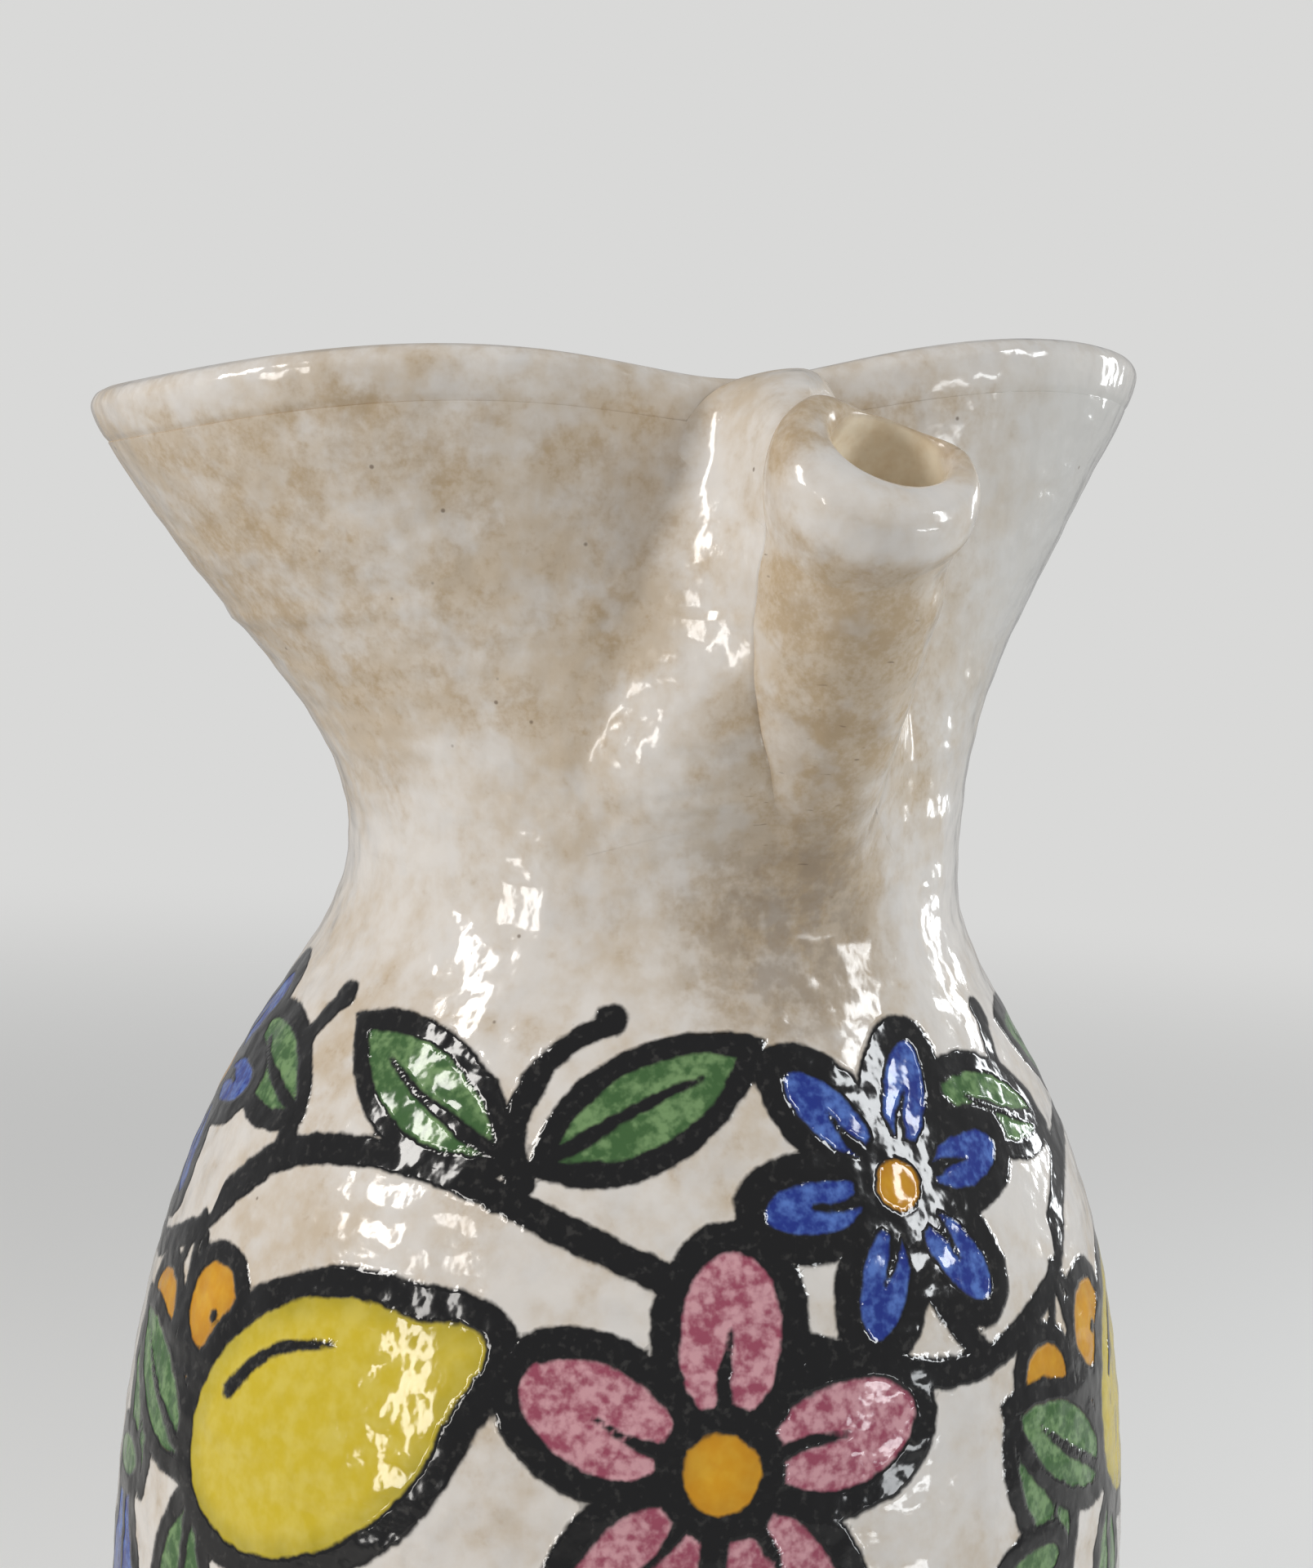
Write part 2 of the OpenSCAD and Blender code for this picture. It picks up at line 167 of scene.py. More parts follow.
def face(a, q):
    """Outer face of the wall with its hand-made unevenness."""
    a, q = np.broadcast_arrays(a, np.asarray(q, float))
    return wall_point(a, q, -hand(a, q))


def face_normal(a, q):
    """Outward normal of that face, from small steps round and up."""
    e = 1e-3
    return unit(np.cross(face(a + e, q) - face(a - e, q), face(a, q + e) - face(a, q - e)))


def share_at(a, z):
    """Share q of the face at angle a and height z, by halving."""
    lo, hi = np.full(np.shape(z), 1.2), np.full(np.shape(z), 3.1)
    for _ in range(19):
        mid = (lo + hi) / 2
        below = face(a, mid)[..., 2] < z
        lo, hi = np.where(below, mid, lo), np.where(below, hi, mid)
    return (lo + hi) / 2


def seat_under(p):
    """Angle and share of the wall beside each point, at the same height and direction from the axis."""
    aim = np.arctan2(p[..., 0], -p[..., 1])
    a = aim
    for _ in range(3):
        q = share_at(a, p[..., 2])
        w = face(a, q)
        slip = aim - np.arctan2(w[..., 0], -w[..., 1])
        a = a + (slip + pi) % tau - pi
    return a, q


def sunk(p):
    """How far each point lies below the outer face, measured towards the axis."""
    w = face(*seat_under(p))
    return np.hypot(w[..., 0], w[..., 1]) - np.hypot(p[..., 0], p[..., 1])


def leaves_at(t, depth, level):
    """Per row, the first t at which depth falls below level, by linear steps."""
    k = np.clip(np.argmax(depth < level, axis=1), 1, None)
    i = np.arange(len(depth))
    d0, d1 = depth[i, k - 1], depth[i, k]
    return t[k - 1] + (t[k] - t[k - 1]) * np.clip((d0 - level) / np.maximum(d0 - d1, 1e-9), 0, 1)


def smooth_through(p, per):
    """Open run of points on a Catmull-Rom curve through p, per points to each span."""
    p = np.asarray(p, float)
    e = np.concatenate([[2 * p[0] - p[1]], p, [2 * p[-1] - p[-2]]])
    t = (np.arange(per) / per)[None, :, None]
    a, b, c, d = (e[k:len(p) - 1 + k][:, None] for k in range(4))
    run = 0.5 * (2 * b + (c - a) * t + (2 * a - 5 * b + 4 * c - d) * t ** 2
                 + (3 * b - a - 3 * c + d) * t ** 3)
    return np.concatenate([run.reshape(-1, p.shape[1]), p[-1:]])


def grid_quads(rows, places, rings):
    """Quads between neighbouring rows of a grid. Each row closes on itself, and so do the rows if rings."""
    i = np.arange(rows if rings else rows - 1)[:, None]
    k = np.arange(places)[None]
    below, beside = (i + 1) % rows, (k + 1) % places
    corners = i * places + k, below * places + k, below * places + beside, i * places + beside
    return np.stack(np.broadcast_arrays(*corners), -1).reshape(-1, 4)


def end_caps(rows, places):
    """Quads that close the first and last row, as rungs from place k to the k-th place from the end."""
    k = np.arange(places // 2 - 1)
    cap = np.stack([k, k + 1, places - 2 - k, places - 1 - k], -1)
    return np.concatenate([cap, (cap + (rows - 1) * places)[:, ::-1]])


def fired(name, grid, node, slot, rings=True, tints=None, blend=None):
    """A piece skinned over a grid of points [row, place in a closed section], its rows closed into a ring or
    capped at both ends, and turned right way out by its signed volume. tints are its own marks for the
    finish. blend gives normals of a neighbour's face and their weight, for edges smoothed into it."""
    rows, places = grid.shape[:2]
    quads = grid_quads(rows, places, rings)
    if not rings:
        quads = np.concatenate([quads, end_caps(rows, places)])
    co = grid.reshape(-1, 3) * MM
    p = co[quads] - co.mean(0)
    volume = (np.einsum("ij,ij->i", p[:, 0], np.cross(p[:, 1], p[:, 2]))
              + np.einsum("ij,ij->i", p[:, 0], np.cross(p[:, 2], p[:, 3]))).sum()
    mesh = bpy.data.meshes.new(name)
    mesh.from_pydata(co, [], (quads if volume > 0 else quads[:, ::-1]).tolist())
    for key, values in (tints or {}).items():
        marks = mesh.attributes.new(key, "FLOAT", "POINT")
        marks.data.foreach_set("value", np.ravel(values).astype(np.float32))
    mesh.shade_smooth()
    mesh.set_sharp_from_angle(angle=SHARP)
    if blend is not None:
        own = np.empty(rows * places * 3, np.float32)
        mesh.vertex_normals.foreach_get("vector", own)
        own = own.reshape(rows, places, 3)
        own[0], own[-1] = own[1], own[-2]
        normals, weight = blend
        mixed = unit(own * (1 - weight[..., None]) + normals * weight[..., None])
        mesh.normals_split_custom_set_from_vertices(mixed.reshape(-1, 3).tolist())
    mesh.materials.append(FINISHES[slot])
    piece = bpy.data.objects.new(name, mesh)
    bpy.context.scene.collection.objects.link(piece)
    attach(piece, "root")
    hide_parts(node)


# finishes
def tone(r, g, b):
    """Colour written as 0 to 255 display values, made linear."""
    c = np.array([r, g, b]) / 255
    return (*np.where(c <= 0.04045, c / 12.92, ((c + 0.055) / 1.055) ** 2.4).tolist(), 1.0)


class Wire:
    """One socket of a node tree. Arithmetic on wires adds Math nodes; node() adds any other node."""

    def __init__(self, tree, socket=None):
        self.tree, self.socket = tree, socket

    def node(self, kind, settings=None, sockets=None, out=0):
        made = self.tree.nodes.new(kind)
        for key, value in (settings or {}).items():
            setattr(made, key, value)
        for key, value in (sockets or {}).items():
            self.join(value, made.inputs[key])
        return Wire(self.tree, made.outputs[out] if made.outputs else None)

    def join(self, value, socket):
        """Links a wire to the socket, or sets a plain value on it."""
        if isinstance(value, Wire):
            self.tree.links.new(value.socket, socket)
        else:
            socket.default_value = value

    def math(self, operation, a, b):
        return self.node("ShaderNodeMath", {"operation": operation}, {0: a, 1: b})

    def __add__(self, other):
        return self.math("ADD", self, other)

    def __sub__(self, other):
        return self.math("SUBTRACT", self, other)

    def __rsub__(self, other):
        return self.math("SUBTRACT", other, self)

    def __mul__(self, other):
        return self.math("MULTIPLY", self, other)

    __radd__, __rmul__ = __add__, __mul__

    def most(self, other):
        return self.math("MAXIMUM", self, other)

    def ease(self, lo, hi):
        return self.node("ShaderNodeMapRange", {"interpolation_type": "SMOOTHSTEP"},
                         {"Value": self, "From Min": lo, "From Max": hi})

    def mix(self, a, b):
        return self.node("ShaderNodeMix", {"data_type": "RGBA"}, {0: self, 6: a, 7: b}, out=2)

    def vector(self, operation, other=(0.0, 0.0, 0.0), out=0):
        """Vector Math on this wire; a length or distance leaves by socket 1."""
        return self.node("ShaderNodeVectorMath", {"operation": operation}, {0: self, 1: other}, out)

    def axis(self, k):
        """One of this vector's three values."""
        return self.node("ShaderNodeSeparateXYZ", {}, {0: self}, out=k)

    def clouds(self, size, detail=2.0, rough=0.5, seed=0.0):
        """Noise whose cells are about size millimetres, on this vector."""
        shifted = self.vector("ADD", (seed, seed * 0.7, -seed))
        return self.node("ShaderNodeTexNoise", {}, {"Vector": shifted, "Scale": 1 / (size * MM),
                                                    "Detail": detail, "Roughness": rough})

    def mark(self, name):
        """A piece's own mark."""
        return self.node("ShaderNodeAttribute", {"attribute_name": name}, out=2)

    def bump(self, height, strength, distance):
        """Normal of a skin with this height."""
        return self.node("ShaderNodeBump", {}, {"Strength": strength, "Distance": distance, "Height": height})


def new_finish(name):
    """Node material with its surface shader: returns material, wire of object coordinates and shader."""
    made = bpy.data.materials.new(name)
    made.use_nodes = True
    tree = made.node_tree
    tree.nodes.clear()
    shader = tree.nodes.new("ShaderNodeBsdfPrincipled")
    output = tree.nodes.new("ShaderNodeOutputMaterial")
    tree.links.new(shader.outputs[0], output.inputs["Surface"])
    return made, Wire(tree).node("ShaderNodeTexCoord", out=3), shader


def settle(wire, shader, **sockets):
    """Links wires, or sets plain values, on the shader's sockets."""
    for key, value in sockets.items():
        wire.join(value, shader.inputs[key.replace("_", " ")])


# root of the spout, round which the glaze is thinner and a painted shade is laid, and cells to a metre of the
# iron specks, for the glaze
ROOT_AT, SPECK_CELLS = (0.002, -0.043, 0.2035), 260.0
GLAZE_IOR = 1.52


def white_ground(at):
    """Tin-white glaze, thinner over tan clay in clouds, more so on the mouth, round the root of the spout and
    where a piece is marked thin, and greyer on the +X side of the mouth; painted shade, a dark grey-brown in
    small clouds, round the root of the spout where the tube meets the neck; specks of iron and, on thin
    pieces, short marks of the tool. Gives colour and thinness."""
    high = at.axis(2).ease(0.200, 0.236)
    calm = at.axis(0).ease(0.012, 0.045)
    mid, small, fine = at.clouds(10, 3, 0.6, 0.3), at.clouds(3.0, 3, 0.6, 0.7), at.clouds(0.9, 2, 0.6, 1.2)
    thick, worn = at.mark("thick"), at.mark("worn")
    # 1 near the spout's root and 0 some 19 mm away: it thins the glaze there and carries the painted shade
    # below
    root_smear_and_shade = (at.vector("DISTANCE", ROOT_AT, out=1) * (0.75 + 0.5 * mid)).ease(0.019, 0.006)
    bias = 0.105 * high * (1 - calm) + 0.14 * root_smear_and_shade - 0.11 * thick - 0.03 * calm
    thin = (0.42 * at.clouds(30, 3, 0.55) + 0.36 * mid + 0.22 * small + bias).ease(0.43, 0.66)
    deep = (0.35 * at.clouds(15, 3, 0.6, 1.1) + 0.4 * at.clouds(3.6, 4, 0.65, 1.7) + 0.25 * fine
            + 0.5 * bias).ease(0.50, 0.67)
    ground = thin.mix(tone(232, 227, 221), tone(209, 193, 171))
    ground = (deep * thin * 0.75).mix(ground, tone(186, 161, 125))
    ground = (at.clouds(6.5, 3, 0.55, 2.3).ease(0.50, 0.68) * 0.45).mix(ground, tone(226, 223, 220))
    ground = (calm * high * (1 - 0.6 * thick) * 0.7).mix(ground, tone(203, 203, 200))
    # painted shade round the spout's root, where the tube meets the neck: dark grey-brown over the thinner
    # glaze there
    ground = (root_smear_and_shade * (0.4 + 0.6 * small.ease(0.35, 0.6)) * 0.65).mix(ground, tone(150, 135, 119))
    cells = {"Vector": at, "Scale": SPECK_CELLS}
    near = at.node("ShaderNodeTexVoronoi", {}, cells)
    lot = at.node("ShaderNodeSeparateColor", {}, {0: at.node("ShaderNodeTexVoronoi", {}, cells, out=1)})
    speck = near.ease(0.095, 0.035) * (lot + 0.2 * worn + 0.05 * thin - 0.12 * thick).ease(0.84, 0.86)
    long = at.vector("MULTIPLY", (0.22, 0.22, 1.0))
    tool = long.clouds(0.55, 1, 0.5, 1.9).ease(0.70, 0.76) * thick.ease(-0.3, -0.6) * mid.ease(0.42, 0.56)
    return (speck * 0.7).most(tool * 0.55).mix(ground, tone(104, 84, 64)), thin


def gloss(at, more=0.0):
    """Orange-peel skin of a glaze that ran a little in the fire, as a bump for the normal."""
    height = (at.clouds(4.2, 1, 0.45, 3.1) + 0.10 * at.clouds(1.3, 1, 0.5, 4.2)
              + 1.3 * at.clouds(9, 1, 0.5, 5.0) + more)
    return at.bump(height, 1.0, 0.00042)


def white_glaze():
    """White glaze of mouth, spout and handle; tan where the piece is marked as worn edge, and dull and a pale
    cream where marked as bore, far lighter than the clay itself as painted light falling into the hole.
    """
    made, at, shader = new_finish("white_tin_glaze")
    ground, thin = white_ground(at)
    bore, worn = at.mark("bore"), at.mark("worn")
    ground = (worn * at.clouds(2.0, 3, 0.6, 6.0).ease(0.40, 0.62)).mix(ground, tone(176, 152, 122))
    # bore tones: painted light, far lighter than the tan clay, so that the deep bore looks lit
    inside = at.clouds(3, 3, 0.6, 6.6).ease(0.35, 0.7).mix(tone(253, 241, 217), tone(240, 222, 192))
    settle(at, shader, Base_Color=bore.mix(ground, inside), Roughness=0.10 + 0.10 * thin + 0.35 * bore,
           Normal=gloss(at), IOR=GLAZE_IOR)
    return made


PAINTS = ("green", "yellow", "orange", "pink", "blue", "ink")


def painted_glaze():
    """The same white glaze with painted colours. Each colour's own mark is a signed distance in millimetres,
    cut at zero with a bubbly wobble."""
    made, at, shader = new_finish("painted_tin_glaze")
    ground, thin = white_ground(at)
    wobble = 0.9 * (at.clouds(1.7, 2, 0.5, 7.0) - 0.5) + 0.8 * (at.clouds(5.5, 1, 0.5, 7.7) - 0.5)
    grain, cells = at.clouds(3.1, 3, 0.62, 8.0), at.clouds(2.3, 2, 0.55, 8.8)
    motes = at.clouds(1.1, 2, 0.5, 9.3)
    uneven = 0.45 + 0.9 * (at.clouds(4.5, 2, 0.5, 9.9) - 0.5)
    edge = {key: at.mark(key) + wobble for key in PAINTS}

    def fruit(key, deep, light, outer):
        """Two tones in cells, and an outer tone that comes in from the edge."""
        return (edge[key].ease(-5.5, -1.2) * uneven).mix(cells.ease(0.3, 0.75).mix(deep, light), outer)

    dabs = (0.65 * grain + 0.35 * motes).ease(0.42, 0.62)
    petal = (0.4 * cells + 0.2 * grain + 0.4 * motes).ease(0.40, 0.60)
    wash = (0.55 * grain + 0.45 * motes).ease(0.4, 0.66)
    colour = {
        "green": dabs.mix(tone(66, 104, 58), tone(122, 156, 104)),
        "yellow": fruit("yellow", tone(214, 190, 46), tone(222, 202, 84), tone(150, 140, 40)),
        "orange": fruit("orange", tone(226, 162, 24), tone(236, 182, 50), tone(176, 112, 24)),
        "pink": petal.mix(tone(162, 78, 100), tone(218, 164, 172)),
        "blue": wash.mix(tone(30, 52, 142), tone(92, 128, 206)),
        "ink": motes.ease(0.55, 0.75).mix(tone(18, 18, 20), tone(52, 51, 50)),
    }
    painted = 0.0
    for key in PAINTS:
        cover = edge[key].ease(0.28, -0.28)
        ground = cover.mix(ground, colour[key])
        painted = cover.most(painted)
    settle(at, shader, Base_Color=ground, Roughness=0.10 + 0.07 * thin * (1 - painted),
           Normal=gloss(at, 0.5 * edge["ink"].ease(0.5, -0.6)), IOR=GLAZE_IOR)
    return made


def bare_clay():
    """Unglazed buff clay: fine grog, turning lines round the axis and a few iron spots."""
    made, at, shader = new_finish("bare_buff_clay")
    grog, fog = at.clouds(0.9, 3, 0.65, 1.0), at.clouds(11, 3, 0.6, 2.0)
    body = fog.ease(0.35, 0.7).mix(tone(198, 172, 138), tone(176, 146, 110))
    body = (grog.ease(0.6, 0.72) * 0.5).mix(body, tone(132, 102, 76))
    from_axis = at.vector("MULTIPLY", (1.0, 1.0, 0.0)).vector("LENGTH", out=1)
    lines = at.math("SINE", from_axis * (tau / (1.4 * MM)) + 3 * fog, 0.0)
    settle(at, shader, Base_Color=body, Roughness=0.72 + 0.15 * (grog - 0.5), IOR=1.45,
           Normal=at.bump(grog + 0.35 * lines, 0.8, 0.00012))
    return made


FINISHES = {"white_glaze": white_glaze(), "painted_glaze": painted_glaze(), "bare_clay": bare_clay()}


# painted garland, as signed distances in millimetres on the unrolled wall
def oval(x, y, a, b):
    """Nearly true distance to an ellipse with half axes a and b."""
    k0, k1 = np.hypot(x / a, y / b), np.hypot(x / a ** 2, y / b ** 2)
    return k0 * (k0 - 1) / np.maximum(k1, 1e-6)


def lens_leaf(x, y, half, wide):
    """Leaf along x: where two equal circles overlap."""
    big = (half ** 2 + wide ** 2) / (2 * wide)
    return np.maximum(np.hypot(x, y + big - wide), np.hypot(x, y - big + wide)) - big


def brush(x, y, points, start, end):
    """Brush stroke: distance to a smooth line through the points, less a half width that runs from start to
    end."""
    line = smooth_through(points, 8)
    best = np.full(np.shape(x), 1e3)
    for k in range(len(line) - 1):
        (x0, y0), (dx, dy) = line[k], line[k + 1] - line[k]
        t = np.clip(((x - x0) * dx + (y - y0) * dy) / (dx * dx + dy * dy + 1e-9), 0, 1)
        w = start + (end - start) * (k + t) / (len(line) - 1)
        best = np.minimum(best, np.hypot(x - x0 - t * dx, y - y0 - t * dy) - w)
    return best


def lay(coat, ink, **fills):
    """Lays one motif over what is already painted: its cover cuts the older colours away."""
    cover = np.minimum.reduce([ink, *fills.values()])
    for key in coat:
        coat[key] = np.maximum(coat[key], -1.2 - cover)
    coat["ink"] = np.minimum(coat["ink"], ink)
    for key, value in fills.items():
        coat[key] = np.minimum(coat[key], value)


def turned_to(x, y, angle):
    """Coordinates in a frame turned by angle degrees."""
    c, s = cos(radians(angle)), sin(radians(angle))
    return x * c + y * s, y * c - x * s


def leaf(coat, x, y, angle, half=15.0, wide=6.5):
    """Green leaf from the origin outwards, with outline and midrib."""
    u, v = turned_to(x, y, angle)
    d = lens_leaf(u - half, v, half, wide)
    rib = brush(u, v, [(0, 0), (half, 0.6), (1.5 * half, 0)], 1.1, 0.35)
    lay(coat, np.minimum(np.abs(d) - 1.45, rib), green=d)


def rosette(coat, x, y, angle, size=24.0, paint="pink", petals=5, heart="orange"):
    """Flower of round petals laid one over the next round a heart."""
    for k in range(petals):
        u, v = turned_to(x, y, angle + 360 * k / petals)
        d = oval(u - 0.6 * size, v, 0.44 * size, 1.5 * size / petals)
        rib = brush(u, v, [(0.2 * size, 0), (0.42 * size, 0.6), (0.62 * size, 0)], 1.2, 0.3)
        lay(coat, np.minimum(np.abs(d) - 1.75, rib), **{paint: d})
    d = np.hypot(x, y) - 0.24 * size
    lay(coat, np.abs(d) - 1.6, **{heart: d})


def lemon(coat, x, y, angle):
    """Lemon with a nub at one end and two leaves behind the other."""
    u, v = turned_to(x, y, angle)
    leaf(coat, u + 21, v - 1, 118, 14, 6.2)
    leaf(coat, u + 21, v + 1, -128, 15, 6.4)
    d = oval(u, v, 22, 15.5)
    nub = oval(u - 22, v, 5.5, 4.6)
    h = np.clip(0.5 + (nub - d) / 14, 0, 1)
    d = nub * (1 - h) + d * h - 7 * h * (1 - h)
    shine = brush(u, v, [(-10, 7.5), (-1, 9.4), (8, 7)], 1.0, 0.4)
    lay(coat, np.minimum(np.abs(d) - 1.8, shine), yellow=d)


def bell_flower(coat, x, y, angle):
    """Hanging bell: half width grows from calyx to a scalloped hem."""
    u, v = turned_to(x, y, angle)
    width = 4.5 + 9.5 * ease(-15, 14, -v) ** 1.2
    d = np.maximum.reduce([np.abs(u) - width, v - 14, -13 + 2.2 * np.cos(u * tau / 9) - v]) * 0.93
    rib = brush(u, v, [(0, 11), (0.8, 2), (0, -6)], 1.3, 0.3)
    lay(coat, np.minimum(np.abs(d) - 1.7, rib), blue=d)
    cap = oval(u, v - 14.5, 7, 3.6)
    lay(coat, np.abs(cap) - 1.4, green=cap)


def berries(coat, x, y, angle):
    """Three round berries on short stalks."""
    u, v = turned_to(x, y, angle)
    for dx, dy, r in ((-7.5, 0, 6.0), (7, 2, 6.6), (0.5, -10.5, 6.2)):
        lay(coat, brush(u, v, [(0, 12), (0.5 * dx, 6 + 0.4 * dy), (dx, dy)], 1.0, 1.0))
        d = np.hypot(u - dx, v - dy) - r
        lay(coat, np.minimum(np.abs(d) - 1.4, np.hypot(u - dx - 1, v - dy + 1) - 0.9), orange=d)


def stem(coat, x, y, points, start, end):
    """Black stem with a round end."""
    tip = np.array(points[-1])
    lay(coat, np.minimum(brush(x, y, points, start, end), np.hypot(x - tip[0], y - tip[1]) - 1.5 * end))


SHARES = np.linspace(0, 2, 2001)
RUN_R, RUN_Z = thrown(SHARES, 0)
RUN_ARC = np.concatenate([[0], np.cumsum(np.hypot(np.diff(RUN_R), np.diff(RUN_Z)))])


def garland(s):
    """Marks of every paint on the angles TURN and shares s: a vine with flowers, fruit and leaves, each motif
    drawn in true lengths round its own place (degrees from the middle of the view, height). A third of the
    way round is worked out and carried three times."""
    a, s = np.broadcast_arrays(TURN[:ROUND // 3, None], s[None])
    r, arc = np.interp(s, SHARES, RUN_R), np.interp(s, SHARES, RUN_ARC)
    coat = {key: np.full(a.shape, FAR) for key in PAINTS}

    def at(place, height):
        """Lengths round and up the wall from a place."""
        swing = (a - radians(place) - VIEW_TURN + pi / 3) % (tau / 3) - pi / 3
        return swing * r, arc - np.interp(height, RUN_Z, RUN_ARC)

    stem(coat, *at(0, 167), [(-64, -4), (-46, 8), (-24, 10), (0, 2), (22, -8), (44, -12), (64, -4)], 1.9, 1.9)
    stem(coat, *at(0, 92), [(-72, 6), (-48, -6), (-24, -8), (0, 2), (24, 10), (48, 8), (72, 6)], 2.0, 2.0)
    stem(coat, *at(-14, 176), [(0, 0), (-2, 6), (1, 15), (7, 20)], 1.9, 1.4)
    stem(coat, *at(-50, 175), [(0, 0), (-2, 5), (-6, 12), (-3, 19)], 1.9, 1.4)
    stem(coat, *at(43, 156), [(0, 0), (-5, 6), (-10, 14)], 1.9, 1.6)
    leaf(coat, *at(-16, 178), 152, 14, 6.4)
    leaf(coat, *at(-12, 178), 34, 13.5, 6.2)
    leaf(coat, *at(-50, 178), 158, 12, 5.6)
    leaf(coat, *at(46, 150), -62, 12, 5.6)
    leaf(coat, *at(26, 104), 62, 14, 6.4)
    leaf(coat, *at(-30, 86), -124, 14, 6.4)
    leaf(coat, *at(52, 98), 118, 12, 5.6)
    berries(coat, *at(-60, 152), 8)
    lemon(coat, *at(-36, 146), 32)
    rosette(coat, *at(10, 147), 14, 25)
    rosette(coat, *at(34, 176), 8, 19, "blue", 6)
    berries(coat, *at(-12, 118), -6)
    rosette(coat, *at(-44, 98), 5, 20, "blue", 6)
    bell_flower(coat, *at(50, 116), 8)
    rosette(coat, *at(36, 70), 30, 20)
    lemon(coat, *at(-4, 72), -18)
    berries(coat, *at(-42, 58), -10)
    return {key: np.tile(value, (3, 1)) for key, value in coat.items()}


# foot, body and mouth
def turned_ring(name, profile, node, slot):
    """A profile of radius and height, kept off the axis and above the ground, carried once round the axis."""
    r, z = np.maximum(np.asarray(profile, float), 0).T
    fired(name, around(r[None], z[None], TURN[:, None]), node, slot)


def foot_ring():
    """Ring that the jug stands on: flat below, rounded outside, undercut towards the floor inside."""
    sole = [(FOOT_IN_R + 1.6, 0), (FOOT_IN_R + 4.5, 0), (HEEL_R - 3.2, 0), (HEEL_R - 2.1, 0.5),
            (HEEL_R - 1.5, 1.6)]
    side = [(HEEL_R - 1, 3.6), (HEEL_R - 0.4, 5.6), (HEEL_R, FOOT_H)]
    inside = [(FOOT_IN_R - 1.6, FOOT_H), (FOOT_IN_R - 0.8, 4.2), (FOOT_IN_R, 1.6), (FOOT_IN_R + 0.6, 0.5)]
    profile = np.concatenate([smooth_through(sole, 5), smooth_through(side, 4), smooth_through(inside, 5)])
    turned_ring("foot_ring_turned", profile, "foot_ring", "bare_clay")


def base_slab():
    """Floor of the jug, flat below and above, with the heel of the wall as its edge."""
    edge = np.stack(thrown(np.linspace(0, HEEL_SHARE, 12), 0), -1)
    r_floor, z_floor = thrown(HEEL_SHARE, WALL)
    below = [(r, FOOT_H) for r in (PIN_R, 15, 30)]
    above = [(r, z_floor) for r in (r_floor, 28, 14, PIN_R)]
    turned_ring("base_slab_thrown", np.concatenate([below, edge, above]), "base_slab", "bare_clay")


def belly_join_coil():
    """Coil pressed over the inside of the belly joint, half a wall thick at its middle."""
    s = np.linspace(*COIL_LAP, 25)
    swell = 0.5 * WALL * np.sin(pi * np.linspace(0, 1, 25))
    on_wall = np.stack(thrown(s, WALL + COIL_GAP), -1)
    inside = np.stack(thrown(s, WALL + COIL_GAP + swell), -1)[1:-1]
    turned_ring("belly_join_coil_pressed", np.concatenate([on_wall, inside[::-1]]),
                "belly_join_coil", "white_glaze")


def wall_section(name, low, high, rows_out, rows_in, node):
    """Painted part of the wall between two laps: outer face with its unevenness, half-wall steps and a plain
    inner face. low gives the shares of the lower step from inside to outside, high those of the upper step
    from outside to inside."""
    a = TURN[:, None]
    outer, inner = np.linspace(low[-1], high[0], rows_out), np.linspace(high[-1], low[0], rows_in)
    grid = np.concatenate([face(a, outer[None]), wall_point(a, np.array([high]), WALL / 2),
                           wall_point(a, inner[None], WALL), wall_point(a, np.array([low]), WALL / 2)], 1)
    spare = np.full((ROUND, grid.shape[1] - rows_out), FAR)
    tints = {key: np.concatenate([marks, spare], 1) for key, marks in garland(outer).items()}
    fired(name, grid, node, "painted_glaze", tints=tints)


def pinched_mouth():
    """Mouth up to its rim band: outer face with its unevenness and a plain inner face."""
    a, u = TURN[:, None], np.linspace(0, 1 - BAND, 64)[None]
    grid = np.concatenate([face(a, 2 + u), bell(a, u[:, ::-2], WALL)], 1)
    fired("pinched_mouth_thrown", grid, "pinched_mouth", "white_glaze")


def rim_band():
    """Rolled edge of the mouth: a smooth section given as shares up the band and through the wall. It is worn
    at its crest, and its glaze gets thicker towards it."""
    section = smooth_through([
        (-0.1, 0.06), (0.06, 0.01), (0.2, -0.02), (0.5, -0.02), (0.8, 0.05), (0.96, 0.27), (0.985, 0.5),
        (0.96, 0.75), (0.8, 0.96), (0.45, 1.02), (0, 1.01)], 6)
    a = TURN[:, None]
    place = np.arange(len(section))[None] + 0 * a
    fired("rim_band_turned", bell(a, 1 - BAND + BAND * section[None, :, 0], WALL * section[None, :, 1]),
          "rim_band", "white_glaze",
          tints={"worn": 0.2 * np.exp(-((place - 33) / 11) ** 2), "thick": 0.9 * ease(2, 24, place)})


foot_ring()
base_slab()
wall_section("lower_body_thrown", (HEEL_SHARE,), BELLY_LAP[::-1], 118, 26, "lower_body")
belly_join_coil()
wall_section("upper_body_thrown", BELLY_LAP, COLLAR_LAP[::-1], 118, 24, "upper_body")
wall_section("neck_collar_thrown", COLLAR_LAP, (WAIST_SHARE,), 44, 22, "neck_collar")
pinched_mouth()
rim_band()

